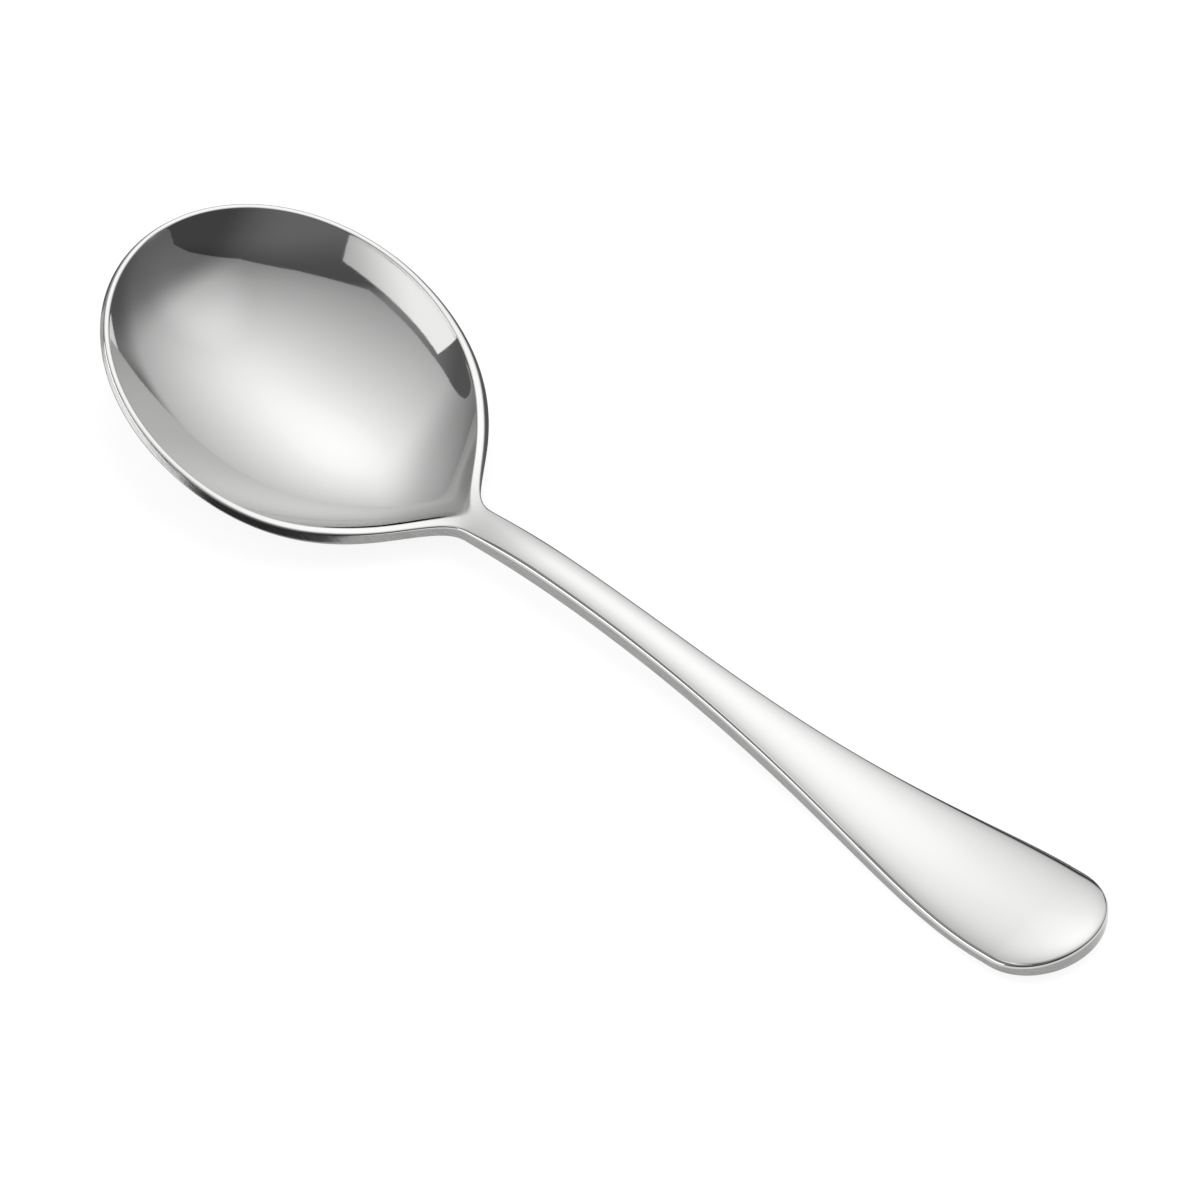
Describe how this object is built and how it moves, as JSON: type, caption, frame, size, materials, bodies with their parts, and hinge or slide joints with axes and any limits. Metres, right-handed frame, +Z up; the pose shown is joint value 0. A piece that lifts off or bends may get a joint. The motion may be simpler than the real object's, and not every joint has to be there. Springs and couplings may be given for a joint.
{
  "type": "soup spoon",
  "caption": "Polished stainless-steel soup spoon with a deep egg-shaped bowl, a narrow neck, a slender arched stem and a flared, domed handle with a rounded, turned-up end.",
  "frame": {"origin": "on the table under the middle of the spoon's length and width", "axes": "+X along the spoon from the bowl tip to the handle end, +Y across it, +Z up out of the bowl, away from the table"},
  "size_m": [0.175, 0.0512, 0.0207],
  "materials": {
    "polished_steel": "mirror-polished stainless steel with satin ground edges"
  },
  "bodies": {
    "root": {"bowl": "polished_steel", "neck": "polished_steel", "stem": "polished_steel", "handle": "polished_steel"}
  },
  "joints": []
}
